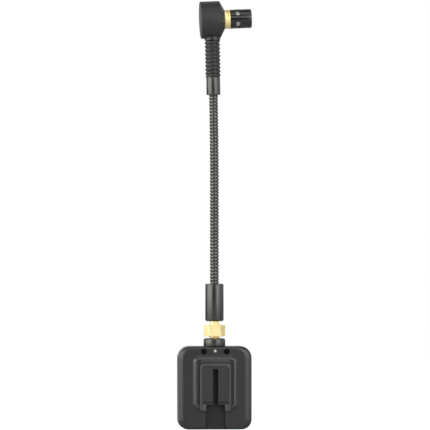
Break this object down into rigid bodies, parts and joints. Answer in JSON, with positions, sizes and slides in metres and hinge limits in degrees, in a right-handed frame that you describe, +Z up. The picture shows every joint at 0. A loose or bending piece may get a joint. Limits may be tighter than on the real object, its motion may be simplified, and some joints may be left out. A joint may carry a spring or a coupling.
{
  "type": "gooseneck microphone",
  "caption": "Pocket wireless transmitter with a clip pocket, carrying a bendable gooseneck arm, a ribbed neck and a side-facing microphone capsule.",
  "frame": {"origin": "middle of the clip pocket mouth, on the side of the housing that faces -Y", "axes": "+Z up along the arm, +X the way the capsule points, -Y the side with the clip pocket"},
  "size_m": [0.0373, 0.0186, 0.2137],
  "materials": {
    "housing": "fine matt texture",
    "guide_plate": "satin black coating",
    "black_steel": "black oxide",
    "clear": "clear moulded window",
    "lamp": "diode package",
    "seal": "soft moulded rubber",
    "board": "solder mask",
    "chip": "moulded epoxy",
    "tin": "tinned",
    "cell": "foil pouch",
    "foam": "adhesive foam",
    "nickel": "nickel strip",
    "copper": "bare",
    "gold": "gold plated, polished",
    "gunmetal": "dark nickel plate, polished",
    "white_plastic": "turned",
    "coil_steel": "blackened wire",
    "neck_rubber": "moulded ribs",
    "head_black": "soft-touch",
    "gloss_black": "gloss black",
    "mesh": "woven steel",
    "element": "can"
  },
  "bodies": {
    "transmitter": {"back_shell": "housing", "front_shell": "housing", "clip_guide_plate": "guide_plate", "housing_screws": "black_steel", "led_window": "clear", "status_led": "lamp", "shell_seal": "seal", "circuit_board": "board", "board_chips": "chip", "rf_shield_can": "tin", "battery_cell": "cell", "battery_pad": "foam", "battery_tabs": "nickel", "antenna_strip": "copper", "tact_switch": "chip", "charging_port": "tin", "port_tongue": "chip", "socket_body": "gold", "bush_collar": "gunmetal", "socket_insulator": "white_plastic", "socket_contact": "gold"},
    "power_button": {"power_button": "housing"},
    "coupling_seal": {"seal_ring": "seal"},
    "coupling_nut": {"coupling_nut": "gold"},
    "arm_base": {"plug_body": "gold", "plug_insulator": "white_plastic", "plug_pin": "gold", "nut_retaining_ring": "black_steel", "lower_ferrule": "gunmetal", "gooseneck_root": "coil_steel"},
    "link_01": {"gooseneck_link_01": "coil_steel"},
    "link_02": {"gooseneck_link_02": "coil_steel"},
    "link_03": {"gooseneck_link_03": "coil_steel"},
    "link_04": {"gooseneck_link_04": "coil_steel"},
    "link_05": {"gooseneck_link_05": "coil_steel"},
    "link_06": {"gooseneck_link_06": "coil_steel"},
    "link_07": {"gooseneck_link_07": "coil_steel"},
    "link_08": {"gooseneck_link_08": "coil_steel"},
    "link_09": {"gooseneck_link_09": "coil_steel"},
    "link_10": {"gooseneck_link_10": "coil_steel"},
    "link_11": {"gooseneck_link_11": "coil_steel"},
    "arm_tip": {"gooseneck_tip": "coil_steel", "upper_sleeve": "gunmetal", "neck_stud": "gunmetal"},
    "head": {"ribbed_neck": "neck_rubber", "head_shell": "head_black", "head_cover": "head_black", "head_carrier": "white_plastic", "preamp_board": "board", "preamp_parts": "chip", "capsule_ring": "gold", "capsule_shell": "gloss_black", "vent_mesh": "mesh", "front_grille": "gloss_black", "element_boot": "seal", "electret_element": "element", "capsule_board": "board", "contact_pins": "gold"}
  },
  "joints": [
    {"name": "button_press", "type": "slide", "parent": "transmitter", "child": "power_button", "axis": [0, -1, 0], "range_m": [0, 0.0004], "stiffness_N_per_m": 1200, "springref_m": -0.0003},
    {"name": "arm_lift", "type": "slide", "parent": "transmitter", "child": "coupling_seal", "axis": [0, 0, 1], "range_m": [0, 0.00225]},
    {"name": "nut_turn", "type": "hinge", "parent": "coupling_seal", "child": "coupling_nut", "pos_m": [0, 0.00643, 0.0401], "axis": [0, 0, 1], "range_deg": [0, 1080]},
    {"name": "arm_swivel", "type": "hinge", "parent": "coupling_seal", "child": "arm_base", "pos_m": [0, 0.00643, 0.0417], "axis": [0, 0, 1], "continuous": true},
    {"name": "bend_01", "type": "hinge", "parent": "arm_base", "child": "link_01", "pos_m": [0, 0.00643, 0.0651], "axis": [0, 1, 0], "range_deg": [-12, 12]},
    {"name": "bend_02", "type": "hinge", "parent": "link_01", "child": "link_02", "pos_m": [0, 0.00643, 0.07337], "axis": [0, 1, 0], "range_deg": [-12, 12]},
    {"name": "bend_03", "type": "hinge", "parent": "link_02", "child": "link_03", "pos_m": [0, 0.00643, 0.08163], "axis": [0, 1, 0], "range_deg": [-12, 12]},
    {"name": "bend_04", "type": "hinge", "parent": "link_03", "child": "link_04", "pos_m": [0, 0.00643, 0.0899], "axis": [0, 1, 0], "range_deg": [-12, 12]},
    {"name": "bend_05", "type": "hinge", "parent": "link_04", "child": "link_05", "pos_m": [0, 0.00643, 0.09816], "axis": [0, 1, 0], "range_deg": [-12, 12]},
    {"name": "bend_06", "type": "hinge", "parent": "link_05", "child": "link_06", "pos_m": [0, 0.00643, 0.10643], "axis": [0, 1, 0], "range_deg": [-12, 12]},
    {"name": "bend_07", "type": "hinge", "parent": "link_06", "child": "link_07", "pos_m": [0, 0.00643, 0.11469], "axis": [0, 1, 0], "range_deg": [-12, 12]},
    {"name": "bend_08", "type": "hinge", "parent": "link_07", "child": "link_08", "pos_m": [-0.00003, 0.00643, 0.12296], "axis": [0, 1, 0], "range_deg": [-12, 12]},
    {"name": "bend_09", "type": "hinge", "parent": "link_08", "child": "link_09", "pos_m": [-0.00009, 0.00643, 0.13122], "axis": [0, 1, 0], "range_deg": [-12, 12]},
    {"name": "bend_10", "type": "hinge", "parent": "link_09", "child": "link_10", "pos_m": [-0.00017, 0.00643, 0.13949], "axis": [0, 1, 0], "range_deg": [-12, 12]},
    {"name": "bend_11", "type": "hinge", "parent": "link_10", "child": "link_11", "pos_m": [-0.00029, 0.00643, 0.14775], "axis": [0, 1, 0], "range_deg": [-12, 12]},
    {"name": "bend_12", "type": "hinge", "parent": "link_11", "child": "arm_tip", "pos_m": [-0.00043, 0.00643, 0.15601], "axis": [0, 1, 0], "range_deg": [-12, 12]},
    {"name": "neck_flex", "type": "hinge", "parent": "arm_tip", "child": "head", "pos_m": [-0.00085, 0.00643, 0.17619], "axis": [0, 1, 0], "range_deg": [-15, 15], "stiffness_Nm_per_rad": 0.12, "deforming": ["ribbed_neck"]}
  ],
  "couplings": [
    {"joint": "nut_turn", "follows": "arm_lift", "rad_per_m": 8377.6},
    {"joint": "bend_02", "follows": "bend_01", "ratio": 1},
    {"joint": "bend_03", "follows": "bend_01", "ratio": 1},
    {"joint": "bend_04", "follows": "bend_01", "ratio": 1},
    {"joint": "bend_05", "follows": "bend_01", "ratio": 1},
    {"joint": "bend_06", "follows": "bend_01", "ratio": 1},
    {"joint": "bend_08", "follows": "bend_07", "ratio": 1},
    {"joint": "bend_09", "follows": "bend_07", "ratio": 1},
    {"joint": "bend_10", "follows": "bend_07", "ratio": 1},
    {"joint": "bend_11", "follows": "bend_07", "ratio": 1},
    {"joint": "bend_12", "follows": "bend_07", "ratio": 1}
  ]
}
